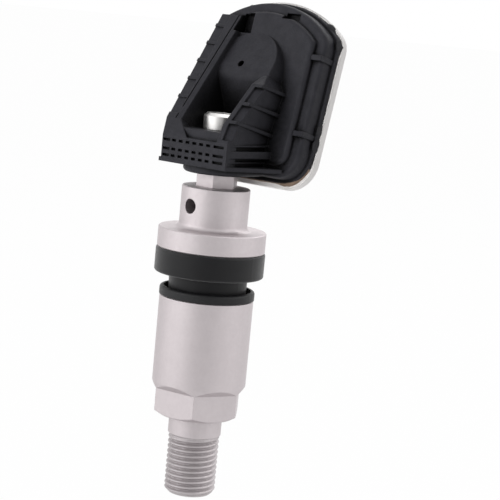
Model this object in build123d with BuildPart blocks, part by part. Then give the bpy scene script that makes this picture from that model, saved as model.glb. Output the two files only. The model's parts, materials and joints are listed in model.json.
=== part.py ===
from build123d import *
import os
from math import atan2, cos, degrees, radians, sin, sqrt, tan

# Tyre pressure sensor on a clamp-in aluminium valve. Units are millimetres.
#
# Z runs along the valve, up towards the housing. The origin is on the valve's axis at its seat
# on the wheel rim, the underside of the rubber grommet. The housing leans back towards +Y, and
# its front, with the two arms and the pressure port, faces -Y.
#
# Inside the housing's own plane, x is across, y runs up the body and z comes out of its front.

os.makedirs("parts", exist_ok=True)

# Grommet: the rubber seal between the valve and the rim
GROMMET_OVERHANG = 0.12
GROMMET_H = 3.69
GROMMET_EDGE_R = 0.35
NECK_R = 5.85
NECK_DEPTH = 4.2
NECK_DRAFT = 0.12
NECK_EDGE = 0.4

# Valve stem, from the flange up to the hexagon neck and down to the tip
FLANGE_R = 8.0
FLANGE_H = 3.05
FLANGE_EDGE = 0.15
COLLAR_R = 5.06
COLLAR_H = 6.25
COLLAR_ROOT_R = 0.8
HEX_NECK_AF = 5.5
HEX_NECK_SHOWN = 2.0
HEX_NECK_SEATED = 3.9
SHANK_R = 4.2
NUT_THREAD_R = 4.5
NUT_THREAD_GAP = 0.8
NUT_THREAD_LENGTH = 15.4
PLAIN_R = 3.98
TIP_DEPTH = 33.4
CAP_THREAD_R = 3.82
CAP_THREAD_LENGTH = 9.15
CAP_THREAD_CHAMFER = 0.6
AIR_HOLE_R = 1.1
AIR_HOLE_DROP = 2.84
AIR_HOLE_TURN = -5.3
AIR_HOLE_ROOM = 0.3
AIR_PASSAGE_R = 1.2

# Thrust washer and sleeve nut, which clamp the rim from outside
WASHER_R = 7.08
WASHER_H = 1.25
WASHER_BORE_R = 6.5
WASHER_EDGE_R = 0.4
WASHER_DROP = 2.1
NUT_R = 7.0
NUT_H = 18.0
NUT_HEX_AF = 12.0
NUT_HEX_H = 4.1
NUT_HEX_TURN = 6.2
NUT_RUN_OUT = 0.9
NUT_TAPER = 0.1
NUT_END_CHAMFER = 1.2
NUT_END_CHAMFER_H = 0.75
NUT_TOP_CHAMFER = 0.2
NUT_POCKET_CLEARANCE = 0.3
NUT_POCKET_ROOM = 0.6
THREAD_CLEARANCE = 0.05

# A soft or tapped piece on the metal that it grips
TIGHT_FIT = 0.02

# Valve core in the tip of the stem
CORE_DEPTH = 1.0
CORE_HEAD_R = 2.6
CORE_HEAD_H = 4.0
CORE_SLOT_CLEARANCE = 0.3
CORE_HEAD_GAP = 0.1
CORE_BARREL_R = 1.75
CORE_BARREL_H = 6.4
CORE_BORE_R = 1.3
CORE_WALL = 0.9
CORE_CLEARANCE = 0.05
CORE_BORE_END_ROOM = 4.0
CORE_GASKET_H = 1.8
CORE_GASKET_GAP = 0.6
PIN_R = 0.5
PIN_OUT = 0.7
PIN_HEAD_R = 0.8
PIN_HEAD_H = 0.35
PIN_COLLAR_R = 1.15
PIN_COLLAR_H = 0.6
PIN_CUP_R = 1.6
PIN_CUP_H = 0.9
PIN_SEAL_H = 0.45
PIN_TRAVEL = 1.2
SEAL_GAP = 0.03
SPRING_WIRE_R = 0.16
SPRING_R = 0.86
SPRING_TURNS = 6
SPRING_WIRE_SIDES = 6
SPRING_GAP = 0.03

# Housing: where it sits, and the stepped base seen from its front
LEAN = 13.4
BASE_LEFT = 9.6
BASE_RIGHT = 12.4
BASE_START = 0.6
BASE_END = 27.3
BASE_DOME_R = 16.5
BASE_DOME_PLACE = 0.55
BASE_FAR_CORNER_R = 3.0
BASE_NEAR_CORNER_R = 4.2
BASE_BACK = -5.5
LIP_H = 0.7
LIP_EDGE_R = 0.2
WALL_INSET = 0.5
SHOULDER = -2.6
SHOULDER_EDGE_R = 0.6
FACE_INSET = 2.1
FACE = -1.6
FACE_EDGE_R = 0.6
BUTTRESS_T = 0.8
BUTTRESS_PLACES = (7.8, 19.1)
BUTTRESS_IN = 0.3
BUTTRESS_DROP = 0.25

# Housing: the two sloping arms
LEFT_ARM_OUT = 6.4
LEFT_ARM_SPLAY = 0.097
LEFT_ARM_IN = 2.5
LEFT_ARM_END = 24.2
RIGHT_ARM_OUT = 6.45
RIGHT_ARM_SPLAY = 0.11
RIGHT_ARM_T = 2.05
RIGHT_ARM_END = 14.9
ARM_START = -3.0
ARM_ROOT = -2.8
ARM_FRONT = 6.65
KNEE = 6.2
ARM_END_FRONT = -1.7
LEFT_BAY_W = 1.85
LEFT_BAY_DEPTH = 0.2
LEFT_RAIL_IN = 4.65
LEFT_RAIL_BEVEL = (0.95, 0.15)
LEFT_RAIL_GROOVE = 0.18
LEFT_FOOT_IN = 1.3
LEFT_FOOT_BACK = 5.2
LEFT_WALL_DEPTH = 6.0
RIGHT_RAIL_T = 0.85
RIGHT_BAY_DEPTH = 0.35
RIGHT_BAY_FALL = 0.75
BAY_MARGIN = 0.45
RUNG_PITCH = 3.08
RUNG_FIRST = 6.8
RUNG_T = 0.5
RIB_OUT = 0.55

# Housing: the block that the valve and the screw go into
SEAT_H = 6.4
SEAT_HALF = 5.0
SEAT_SETBACK = 0.6
SEAT_BACK = 4.6
BOSS_R = 5.15
BOSS_H = 1.15
BOSS_EDGE_R = 0.6
BOSS_BACK = 4.6
END_PLATE_T = 0.6
END_PLATE_LEFT = 6.35
END_PLATE_RIGHT = 10.2
WEBS = ((2.2, 0.25, 6.9), (2.95, 1.05, 7.6), (4.6, 0.25, 6.85))
GROOVE_DEPTH = 0.5
GROOVE_SETBACK = 0.9
WEB_SETBACK = 0.35
SOCKET_CLEARANCE = 0.05

# Housing: the upright strip across the arms at the valve's end, with its rows of pockets
STRIP_FRONT = 6.1
STRIP_LEFT = 5.95
STRIP_TOP = 5.06
STRIP_T = 2.0
POCKET_ROWS = (4.4, 3.1, 2.15)
POCKET_COUNT = 6
POCKET_PITCH = 1.31
POCKET_FIRST = -3.66
POCKET_W = 0.75
POCKET_ENDS = ((-5.72, -4.4), (3.9, 5.8))
POCKET_H = 0.36
POCKET_DEPTH = 0.45

# Housing: the sloping platform with the pressure port, and the ramp below it
PLATFORM_R = 6.0
PLATFORM_FOOT_R = 6.4
PLATFORM_CENTRE = 15.4
PLATFORM_DROP = 1.0
RAMP_HALF = 5.0
RAMP_TOP = 15.0
RAMP_SLOPE = 26.2
RAMP_LIP_R = 2.5
PORT_PLACE = 16.4
PORT_R = 0.5

# Housing: two notches at the far end
NOTCH_FLOOR = -3.3
LEFT_NOTCH = (-4.2, -1.6, 21.6, 24.7)
RIGHT_NOTCH = (3.6, 6.1, 24.3, 25.35)

# Housing: the room inside, and the sensor's own room under the platform
ROOM_INSET = 1.7
ROOM_CLEARANCE = 0.1
BOARD_ROOM_INSET = 3.3
BOARD_ROOM_CEILING = -2.75
BOARD_ROOM_END = 20.8
SENSOR_ROOM_CEILING = -0.6
SENSOR_ROOM_MARGIN = 0.3

# Back cover and the bead along its seam
COVER_T = 1.5
COVER_DISH_INSET = 1.9
COVER_DISH_DEPTH = 0.45
COVER_EDGE_R = 0.5
COVER_OUT = 0.35
COVER_FOOT = 0.35
BEAD_OUT = 0.3
BEAD_H = 0.5

# Circuit board and what it carries
BOARD_T = 0.6
BOARD_MARGIN = 0.2
SENSOR_W = 4.4
SENSOR_L = 3.6
SENSOR_H = 1.6
SENSOR_PORT_R = 0.6
GASKET_OUTER_R = 1.6
GASKET_INNER_R = 0.8
CHIP_SIZE = 4.0
CHIP_H = 0.9
CHIP_EDGE_GAP = 0.4
CHIP_ALONG = 6.4
CRYSTAL_W = 2.5
CRYSTAL_L = 3.2
CRYSTAL_H = 0.8
CRYSTAL_CORNER_R = 0.3
CRYSTAL_EDGE_GAP = 0.5
CRYSTAL_ALONG = 6.2
ANTENNA_L = 6.6
ANTENNA_CORE_W = 1.8
ANTENNA_CORE_T = 1.2
ANTENNA_CHEEK = 0.9
ANTENNA_CHEEK_OUT = 0.5
ANTENNA_WINDING_OUT = 0.4
ANTENNA_ALONG = 5.9

# Battery
BATTERY_R = 8.0
BATTERY_H = 1.9
BATTERY_STEP_R = 6.9
BATTERY_STEP_H = 0.3
BATTERY_PLACE = 16.4
TAB_T = 0.15
TAB_W = 3.0
TAB_REACH = 4.2
TAB_RISER_GAP = 0.4

# Mounting screw
SCREW_R = 1.5
SCREW_HOLE_CLEARANCE = 0.1
SCREW_HEAD_R = 2.75
SCREW_HEAD_H = 2.4
SCREW_HEAD_EDGE = 0.45
SCREW_LENGTH = 8.2
SCREW_TIP_ROOM = 0.8
SCREW_SOCKET_AF = 2.5
SCREW_SOCKET_DEPTH = 1.5

# Heights along the valve, and the grommet, which stands out from the flange that presses it
grommet_r = FLANGE_R + GROMMET_OVERHANG
flange_z = GROMMET_H
collar_z = flange_z + FLANGE_H
hex_neck_z = collar_z + COLLAR_H
housing_z = hex_neck_z + HEX_NECK_SHOWN
hex_top_z = housing_z + HEX_NECK_SEATED
seat_z = housing_z + SEAT_H
end_plate_z = housing_z + BOSS_H
strip_top_z = housing_z + STRIP_TOP
tip_z = -TIP_DEPTH
cap_thread_top_z = tip_z + CAP_THREAD_LENGTH
nut_thread_top_z = -(NECK_DEPTH + NUT_THREAD_GAP)
nut_thread_low_z = nut_thread_top_z - NUT_THREAD_LENGTH
washer_low_z = -(WASHER_DROP + WASHER_H)
nut_low_z = washer_low_z - NUT_H
nut_hex_top_z = nut_low_z + NUT_HEX_H
air_hole_z = hex_neck_z - AIR_HOLE_DROP

# Heights in the valve core, inward from the tip
core_low_z = tip_z + CORE_DEPTH
core_shoulder_z = core_low_z + CORE_HEAD_H
core_end_z = core_shoulder_z + CORE_BARREL_H
core_wall_z = core_end_z - CORE_WALL
core_room_r = CORE_BARREL_R + CORE_GASKET_GAP
core_room_end_z = core_end_z + CORE_BORE_END_ROOM
pin_low_z = core_low_z - PIN_OUT
core_slot_z = pin_low_z + PIN_HEAD_H + PIN_TRAVEL + CORE_HEAD_GAP
core_bore_low_z = core_slot_z + CORE_WALL
pin_collar_z = core_bore_low_z + SPRING_GAP
pin_seal_z = core_end_z + SEAL_GAP
pin_cup_z = pin_seal_z + PIN_SEAL_H
pin_top_z = pin_cup_z + PIN_CUP_H

# Inside the housing: its middle, the board's two edges, and levels from the board out and back
base_middle = (BASE_RIGHT - BASE_LEFT) / 2
board_left = BOARD_ROOM_INSET + BOARD_MARGIN - BASE_LEFT
board_right = BASE_RIGHT - BOARD_ROOM_INSET - BOARD_MARGIN
sensor_front = BOARD_ROOM_CEILING + SENSOR_H
board_back = BOARD_ROOM_CEILING - BOARD_T
battery_front = board_back - TAB_T
battery_back = battery_front - BATTERY_H


# The housing's planes: its own, the one that shows its side, and the slope of its arms
def leaning_plane(lean, origin):
    """A plane across the housing, with its normal turned up from the front by an angle."""
    return Plane(origin=origin, x_dir=(1, 0, 0), z_dir=(0, -cos(radians(lean)), sin(radians(lean))))


HOUSING = leaning_plane(LEAN, (0, 0, housing_z))
HOUSING_SIDE = Plane(origin=HOUSING.origin, x_dir=HOUSING.y_dir, z_dir=(1, 0, 0))
strip_edge = HOUSING.to_local_coords(Vector(0, -STRIP_FRONT, strip_top_z))
strip_fall = (strip_edge.Z - ARM_FRONT) / (KNEE - strip_edge.Y)
arm_fall = (ARM_FRONT - ARM_END_FRONT) / (LEFT_ARM_END - KNEE)
arm_slope = degrees(atan2(arm_fall, 1))
arm_plane = leaning_plane(LEAN + arm_slope, HOUSING.from_local_coords((0, KNEE, ARM_FRONT)))
rung_count = int((LEFT_ARM_END - RUNG_FIRST) / RUNG_PITCH) + 1
left_rungs = [RUNG_FIRST + RUNG_PITCH * i for i in range(rung_count)]
right_rungs = [place for place in left_rungs if place < RIGHT_ARM_END]
right_ladder_end = right_rungs[-1] + RUNG_T / 2


def arm_front(along):
    """How far the arms stand out, at a distance along the housing."""
    return ARM_FRONT - (strip_fall if along < KNEE else arm_fall) * (along - KNEE)


def platform_front(along):
    """How far the platform stands out, at a distance along the housing."""
    return arm_front(along) - PLATFORM_DROP / cos(radians(arm_slope))


def left_out(along):
    """How far out the left arm's outside lies, at a distance along the housing."""
    return LEFT_ARM_OUT + LEFT_ARM_SPLAY * max(0, along - KNEE)


def right_out(along):
    """How far out the right arm's outside lies, at a distance along the housing."""
    return RIGHT_ARM_OUT + RIGHT_ARM_SPLAY * max(0, along - KNEE)


def on_slope(along):
    """A distance along the housing, measured along the arms' slope from the knee."""
    return (along - KNEE) / cos(radians(arm_slope))


def rung_plane(along):
    """A plane square to the housing's length, with x across it and y out of its front."""
    return Plane(
        origin=HOUSING.from_local_coords((0, along, 0)),
        x_dir=(1, 0, 0),
        z_dir=-HOUSING.y_dir,
    )


def along_at(height, front):
    """Where a height above the foot of the housing lies along it, for a point at its front."""
    return (height - front * sin(radians(LEAN))) / cos(radians(LEAN))


def front_y(height, front):
    """The Y of a point at a height above the foot of the housing and at its front."""
    return (height * sin(radians(LEAN)) - front) / cos(radians(LEAN))


# Outline of the base, shared by the housing, the cover, the bead and the board
def dome(across):
    """Where the base's domed far end lies along it, at a distance across it."""
    return BASE_END - BASE_DOME_R + sqrt(BASE_DOME_R**2 - (across - BASE_DOME_PLACE) ** 2)


with BuildSketch() as base_outline:
    with BuildLine():
        Polyline(
            (-BASE_LEFT, dome(-BASE_LEFT)),
            (-BASE_LEFT, BASE_START),
            (BASE_RIGHT, BASE_START),
            (BASE_RIGHT, dome(BASE_RIGHT)),
        )
        ThreePointArc(
            (BASE_RIGHT, dome(BASE_RIGHT)),
            (BASE_DOME_PLACE, BASE_END),
            (-BASE_LEFT, dome(-BASE_LEFT)),
        )
    make_face()
    fillet(base_outline.vertices().sort_by(Axis.Y)[:2], BASE_NEAR_CORNER_R)
    fillet(base_outline.vertices().sort_by(Axis.Y)[-2:], BASE_FAR_CORNER_R)


def base_section(inset):
    """Draw the base's outline in the open sketch, drawn in by a distance."""
    add(base_outline.sketch)
    if inset:
        offset(amount=-inset)


# Sloping platform, round at its far end, with a ramp that runs down between the arms
with BuildPart() as platform:
    platform_height = platform_front(PLATFORM_CENTRE) - FACE
    platform_taper = degrees(atan2(PLATFORM_FOOT_R - PLATFORM_R, platform_height))
    ramp_foot = RAMP_TOP - (platform_front(RAMP_TOP) - FACE) / tan(radians(RAMP_SLOPE))
    platform_end = RAMP_TOP + (platform_front(RAMP_TOP) - FACE) / arm_fall
    with BuildSketch(HOUSING.offset(FACE)):
        with Locations((0, PLATFORM_CENTRE)):
            Circle(PLATFORM_FOOT_R)
    extrude(amount=platform_front(RAMP_TOP) - FACE, taper=platform_taper)
    with BuildSketch(HOUSING.offset(FACE)):
        with Locations((0, ramp_foot)):
            Rectangle(2 * RAMP_HALF, PLATFORM_CENTRE - ramp_foot, align=(Align.CENTER, Align.MIN))
    extrude(amount=platform_front(RAMP_TOP) - FACE)
    with BuildSketch(HOUSING_SIDE) as platform_side:
        with BuildLine():
            Polyline(
                (ramp_foot, FACE),
                (platform_end, FACE),
                (RAMP_TOP, platform_front(RAMP_TOP)),
                close=True,
            )
        make_face()
        fillet(platform_side.vertices().sort_by(Axis.Y)[-1], RAMP_LIP_R)
    extrude(amount=PLATFORM_FOOT_R, both=True, mode=Mode.INTERSECT)

# The two arms, cut to the slope and the valve's end
with BuildPart() as arms:
    with BuildSketch(HOUSING.offset(ARM_ROOT)):
        with BuildLine():
            Polyline(
                (-STRIP_LEFT, ARM_START),
                (-STRIP_LEFT, strip_edge.Y),
                (-LEFT_ARM_OUT, KNEE),
                (-left_out(LEFT_ARM_END), LEFT_ARM_END),
                (-LEFT_ARM_IN, LEFT_ARM_END),
                (-LEFT_ARM_IN, ARM_START),
                close=True,
            )
        make_face()
        with BuildLine():
            Polyline(
                (RIGHT_ARM_OUT, ARM_START),
                (RIGHT_ARM_OUT, KNEE),
                (right_out(right_ladder_end), right_ladder_end),
                (PLATFORM_R, RIGHT_ARM_END),
                (right_out(RIGHT_ARM_END) - RIGHT_ARM_T, RIGHT_ARM_END),
                (RIGHT_ARM_OUT - RIGHT_ARM_T, KNEE),
                (RIGHT_ARM_OUT - RIGHT_ARM_T, ARM_START),
                close=True,
            )
        make_face()
    extrude(amount=strip_edge.Z - ARM_ROOT)

    # The left arm's inner wall: a rail with a groove along it, then a slight draft
    bevel_w, bevel_depth = LEFT_RAIL_BEVEL
    rail_start = on_slope(strip_edge.Y)
    rail_end = on_slope(LEFT_ARM_END)
    rail_section = Plane(origin=arm_plane.origin, x_dir=(1, 0, 0), z_dir=-arm_plane.y_dir)
    with BuildSketch(rail_section.offset(-rail_start)):
        with BuildLine():
            Polyline(
                (-LEFT_RAIL_IN, 0),
                (bevel_w - LEFT_RAIL_IN, -bevel_depth),
                (-LEFT_ARM_IN, -LEFT_WALL_DEPTH),
                (-LEFT_ARM_IN, 0),
                close=True,
            )
        make_face()
    extrude(amount=rail_start - rail_end, mode=Mode.SUBTRACT)
    with BuildSketch(rail_section):
        with Locations((-LEFT_RAIL_IN, 0)):
            Rectangle(LEFT_RAIL_GROOVE, 2 * LEFT_RAIL_GROOVE)
    extrude(amount=-rail_end, mode=Mode.SUBTRACT)

    # The left arm's foot, which widens to the strip
    with BuildSketch(HOUSING.offset(LEFT_FOOT_BACK)):
        with BuildLine():
            Polyline(
                (bevel_w - LEFT_RAIL_IN, KNEE),
                (-LEFT_FOOT_IN, strip_edge.Y),
                (-LEFT_RAIL_IN, strip_edge.Y),
                (-LEFT_RAIL_IN, KNEE),
                close=True,
            )
        make_face()
    extrude(amount=strip_edge.Z - LEFT_FOOT_BACK)

    # Front of the arms, from the strip's edge over the knee, and their cut at the valve's end
    with BuildSketch(HOUSING_SIDE):
        with BuildLine():
            Polyline(
                (strip_edge.Y, strip_edge.Z),
                (KNEE, ARM_FRONT),
                (LEFT_ARM_END, ARM_END_FRONT),
                (LEFT_ARM_END, strip_edge.Z),
                close=True,
            )
        make_face()
        with BuildLine():
            Polyline(
                (ARM_START, ARM_ROOT),
                (along_at(BOSS_H, ARM_ROOT), ARM_ROOT),
                (along_at(BOSS_H, strip_edge.Z), strip_edge.Z),
                (ARM_START, strip_edge.Z),
                close=True,
            )
        make_face()
    extrude(amount=BASE_RIGHT, both=True, mode=Mode.SUBTRACT)

    # Shallow bays between the left arm's rungs, outside its rail
    with BuildSketch(arm_plane):
        for low, high in zip(left_rungs, left_rungs[1:] + [left_rungs[-1] + RUNG_PITCH]):
            with BuildLine():
                Polyline(
                    (LEFT_BAY_W - left_out(low), on_slope(low + RUNG_T / 2)),
                    (-BASE_LEFT, on_slope(low + RUNG_T / 2)),
                    (-BASE_LEFT, on_slope(high - RUNG_T / 2)),
                    (LEFT_BAY_W - left_out(high), on_slope(high - RUNG_T / 2)),
                    close=True,
                )
            make_face()
    extrude(amount=-LEFT_BAY_DEPTH, mode=Mode.SUBTRACT)

    # Bays between the right arm's rungs, which fall away to its outside
    right_bays = [(low + RUNG_T / 2, high - RUNG_T / 2) for low, high in zip(right_rungs, right_rungs[1:])]
    for bay in [(strip_edge.Y + BAY_MARGIN, RUNG_FIRST - RUNG_T / 2)] + right_bays:
        for along in bay:
            rail_out = right_out(along) - RIGHT_ARM_T + RIGHT_RAIL_T
            with BuildSketch(rung_plane(along)):
                with BuildLine():
                    Polyline(
                        (rail_out, strip_edge.Z + BAY_MARGIN),
                        (rail_out, arm_front(along) - RIGHT_BAY_DEPTH),
                        (right_out(along), arm_front(along) - RIGHT_BAY_FALL),
                        (BASE_RIGHT, arm_front(along) - RIGHT_BAY_FALL),
                        (BASE_RIGHT, strip_edge.Z + BAY_MARGIN),
                        close=True,
                    )
                make_face()
        loft(mode=Mode.SUBTRACT)

    # The right arm's end runs down to the platform
    with BuildSketch(HOUSING_SIDE):
        with BuildLine():
            Polyline(
                (right_ladder_end, arm_front(right_ladder_end)),
                (RIGHT_ARM_END, platform_front(RIGHT_ARM_END)),
                (RIGHT_ARM_END, ARM_FRONT),
                close=True,
            )
        make_face()
    extrude(amount=BASE_RIGHT, mode=Mode.SUBTRACT)

    # A thin rib down the outside of the right arm under each rung
    for rung in right_rungs:
        with BuildSketch(rung_plane(rung)):
            with BuildLine():
                Polyline(
                    (right_out(rung) - RIGHT_RAIL_T, FACE),
                    (right_out(rung) + RIB_OUT, FACE),
                    (right_out(rung), arm_front(rung + RUNG_T / 2)),
                    (right_out(rung) - RIGHT_RAIL_T, arm_front(rung + RUNG_T / 2)),
                    close=True,
                )
            make_face()
        extrude(amount=RUNG_T / 2, both=True)

# Rounded boss on the valve's end of the housing, which the hexagon neck goes into
with BuildPart() as valve_boss:
    with BuildSketch(Plane.XY.offset(housing_z)):
        Circle(BOSS_R)
        with Locations((0, BOSS_BACK / 2)):
            Rectangle(2 * BOSS_R, BOSS_BACK)
    extrude(amount=BOSS_H + END_PLATE_T)
    fillet(valve_boss.edges().group_by(Axis.Z)[0].sort_by(Axis.Y)[:-1], BOSS_EDGE_R)

# Housing
with BuildPart() as housing:
    # Stepped base: lip, wall and front face
    outward = Axis(HOUSING.origin, HOUSING.z_dir)
    for inset, top, edge in (
        (0, BASE_BACK + LIP_H, LIP_EDGE_R),
        (WALL_INSET, SHOULDER, SHOULDER_EDGE_R),
        (FACE_INSET, FACE, FACE_EDGE_R),
    ):
        with BuildSketch(HOUSING.offset(BASE_BACK)):
            base_section(inset)
        extrude(amount=top - BASE_BACK)
        fillet(housing.edges().group_by(outward)[-1], edge)

    # Buttresses across the step, on the right
    with BuildSketch(HOUSING.offset(BASE_BACK + LIP_H)):
        for place in BUTTRESS_PLACES:
            with Locations((BASE_RIGHT - FACE_INSET / 2 - BUTTRESS_IN / 2, place)):
                Rectangle(FACE_INSET - BUTTRESS_IN, BUTTRESS_T)
    extrude(amount=FACE - BUTTRESS_DROP - BASE_BACK - LIP_H)
    add(arms.part)

    # Grooves in the right arm's side, with webs between them that run out to the base's face
    groove_low = BOSS_H + END_PLATE_T
    groove_high = WEBS[-1][0]
    groove_middle = (groove_low + groove_high) / 2
    groove_front = GROOVE_SETBACK - STRIP_FRONT
    groove_back = front_y(groove_middle, FACE)
    with BuildSketch(Plane.XY.offset(housing_z + groove_low)):
        with Locations((RIGHT_ARM_OUT, (groove_front + groove_back) / 2)):
            Rectangle(2 * GROOVE_DEPTH, groove_back - groove_front)
    extrude(amount=groove_high - groove_low, mode=Mode.SUBTRACT)
    for low, height, foot in WEBS:
        web_front = WEB_SETBACK - STRIP_FRONT
        web_back = front_y(low + height, FACE)
        with BuildSketch(Plane.XY.offset(housing_z + low)):
            with BuildLine():
                Polyline(
                    (SEAT_HALF, web_front),
                    (RIGHT_ARM_OUT, web_front),
                    (foot, web_back),
                    (SEAT_HALF, web_back),
                    close=True,
                )
            make_face()
        extrude(amount=height)

    # Block under the screw, and the upright strip in front of it
    seat_front = SEAT_SETBACK - STRIP_FRONT
    with BuildSketch(Plane.XY.offset(end_plate_z)):
        with Locations((0, seat_front)):
            Rectangle(2 * SEAT_HALF, SEAT_BACK - seat_front, align=(Align.CENTER, Align.MIN))
    extrude(amount=seat_z - end_plate_z)
    strip_middle = (RIGHT_ARM_OUT - STRIP_LEFT) / 2
    with BuildSketch(Plane.XY.offset(end_plate_z)):
        with Locations((strip_middle, -STRIP_FRONT)):
            Rectangle(STRIP_LEFT + RIGHT_ARM_OUT, STRIP_T, align=(Align.CENTER, Align.MIN))
    extrude(amount=strip_top_z - end_plate_z)
    with BuildSketch(Plane.XY.offset(end_plate_z)):
        with Locations((0, -STRIP_FRONT)):
            Rectangle(2 * BASE_RIGHT, STRIP_T, align=(Align.CENTER, Align.MAX))
    extrude(amount=strip_top_z - end_plate_z, mode=Mode.SUBTRACT)

    # End plate and boss
    plate_side_back = front_y(BOSS_H + END_PLATE_T, FACE)
    with BuildSketch(Plane.XY.offset(end_plate_z)):
        with BuildLine():
            Polyline(
                (-END_PLATE_LEFT, -STRIP_FRONT),
                (RIGHT_ARM_OUT, -STRIP_FRONT),
                (END_PLATE_RIGHT, plate_side_back),
                (SEAT_HALF, plate_side_back),
                (SEAT_HALF, SEAT_BACK),
                (-END_PLATE_LEFT, SEAT_BACK),
                close=True,
            )
        make_face()
    extrude(amount=END_PLATE_T)
    add(valve_boss.part)
    add(platform.part)

    # Rows of small pockets across the strip
    with BuildSketch(Plane.XZ.offset(STRIP_FRONT)):
        for row in POCKET_ROWS:
            for i in range(POCKET_COUNT):
                with Locations((POCKET_FIRST + POCKET_PITCH * i, housing_z + row)):
                    Rectangle(POCKET_W, POCKET_H)
            for left, right in POCKET_ENDS:
                with Locations(((left + right) / 2, housing_z + row)):
                    Rectangle(right - left, POCKET_H)
    extrude(amount=-POCKET_DEPTH, mode=Mode.SUBTRACT)

    # Notches at the far end
    with BuildSketch(HOUSING.offset(NOTCH_FLOOR)):
        for left, right, near, far in (LEFT_NOTCH, RIGHT_NOTCH):
            with Locations(((left + right) / 2, (near + far) / 2)):
                Rectangle(right - left, far - near)
    extrude(amount=ARM_FRONT - NOTCH_FLOOR, mode=Mode.SUBTRACT)

    # Room for the battery and the parts, for the board and for the sensor, and the port
    with BuildSketch(HOUSING.offset(BASE_BACK)):
        base_section(ROOM_INSET)
    extrude(amount=battery_front + ROOM_CLEARANCE - BASE_BACK, mode=Mode.SUBTRACT)
    with BuildSketch(HOUSING.offset(BASE_BACK)):
        base_section(BOARD_ROOM_INSET)
        with Locations((0, BOARD_ROOM_END)):
            Rectangle(2 * BASE_RIGHT, BASE_END, align=(Align.CENTER, Align.MIN), mode=Mode.SUBTRACT)
    extrude(amount=BOARD_ROOM_CEILING - BASE_BACK, mode=Mode.SUBTRACT)
    with BuildSketch(HOUSING.offset(BASE_BACK)):
        with Locations((0, PORT_PLACE)):
            Rectangle(SENSOR_W + 2 * SENSOR_ROOM_MARGIN, SENSOR_L + 2 * SENSOR_ROOM_MARGIN)
    extrude(amount=SENSOR_ROOM_CEILING - BASE_BACK, mode=Mode.SUBTRACT)
    with BuildSketch(HOUSING.offset(BASE_BACK)):
        with Locations((0, PORT_PLACE)):
            Circle(PORT_R)
    extrude(amount=ARM_FRONT - BASE_BACK, mode=Mode.SUBTRACT)

    # Hexagon socket for the valve's neck, and the screw's hole
    with BuildSketch(Plane.XY.offset(housing_z)):
        RegularPolygon(HEX_NECK_AF / 2 + SOCKET_CLEARANCE, 6, major_radius=False)
    extrude(amount=HEX_NECK_SEATED + SOCKET_CLEARANCE, mode=Mode.SUBTRACT)
    with BuildSketch(Plane.XY.offset(housing_z)):
        Circle(SCREW_R + SCREW_HOLE_CLEARANCE)
    extrude(amount=SEAT_H, mode=Mode.SUBTRACT)
housing.part.label = "housing"
export_step(housing.part, "parts/housing.step")

# Back cover, dished on the inside, which stands out past the housing all round and at its foot
with BuildPart() as base_cover:
    with BuildSketch(HOUSING.offset(BASE_BACK)):
        with Locations((0, 0), (0, -COVER_FOOT)):
            base_section(-COVER_OUT)
    extrude(amount=-COVER_T)
    fillet(base_cover.edges().group_by(outward)[0], COVER_EDGE_R)
    with BuildSketch(HOUSING.offset(BASE_BACK)):
        base_section(COVER_DISH_INSET)
    extrude(amount=-COVER_DISH_DEPTH, mode=Mode.SUBTRACT)
base_cover.part.label = "base_cover"
export_step(base_cover.part, "parts/base_cover.step")

# Bead squeezed out along the seam between housing and cover
with BuildPart() as seam_bead:
    with BuildSketch(HOUSING.offset(BASE_BACK)):
        base_section(-BEAD_OUT)
        add(base_outline.sketch, mode=Mode.SUBTRACT)
    extrude(amount=BEAD_H)
seam_bead.part.label = "seam_bead"
export_step(seam_bead.part, "parts/seam_bead.step")

# Circuit board, flat against the ceiling of its room
with BuildPart() as circuit_board:
    with BuildSketch(HOUSING.offset(BOARD_ROOM_CEILING)):
        base_section(BOARD_ROOM_INSET + BOARD_MARGIN)
        with Locations((0, BOARD_ROOM_END - BOARD_MARGIN)):
            Rectangle(2 * BASE_RIGHT, BASE_END, align=(Align.CENTER, Align.MIN), mode=Mode.SUBTRACT)
    extrude(amount=-BOARD_T)
circuit_board.part.label = "circuit_board"
export_step(circuit_board.part, "parts/circuit_board.step")

# Pressure sensor on the board's front, under the port
with BuildPart() as pressure_sensor:
    with BuildSketch(HOUSING.offset(BOARD_ROOM_CEILING)):
        with Locations((0, PORT_PLACE)):
            Rectangle(SENSOR_W, SENSOR_L)
    extrude(amount=SENSOR_H)
    with BuildSketch(HOUSING.offset(sensor_front)):
        with Locations((0, PORT_PLACE)):
            Circle(SENSOR_PORT_R)
    extrude(amount=-SENSOR_H / 2, mode=Mode.SUBTRACT)
pressure_sensor.part.label = "pressure_sensor"
export_step(pressure_sensor.part, "parts/pressure_sensor.step")

# Gasket ring between the sensor and the housing
with BuildPart() as port_gasket:
    with BuildSketch(HOUSING.offset(sensor_front)):
        with Locations((0, PORT_PLACE)):
            Circle(GASKET_OUTER_R)
            Circle(GASKET_INNER_R, mode=Mode.SUBTRACT)
    extrude(amount=SENSOR_ROOM_CEILING - sensor_front)
port_gasket.part.label = "port_gasket"
export_step(port_gasket.part, "parts/port_gasket.step")

# Radio chip and crystal on the board's back
chip_left = board_right - CHIP_EDGE_GAP - CHIP_SIZE
crystal_right = board_left + CRYSTAL_EDGE_GAP + CRYSTAL_W
with BuildPart() as radio_chip:
    with BuildSketch(HOUSING.offset(board_back)):
        with Locations((chip_left + CHIP_SIZE / 2, CHIP_ALONG)):
            Rectangle(CHIP_SIZE, CHIP_SIZE)
    extrude(amount=-CHIP_H)
radio_chip.part.label = "radio_chip"
export_step(radio_chip.part, "parts/radio_chip.step")

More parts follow.
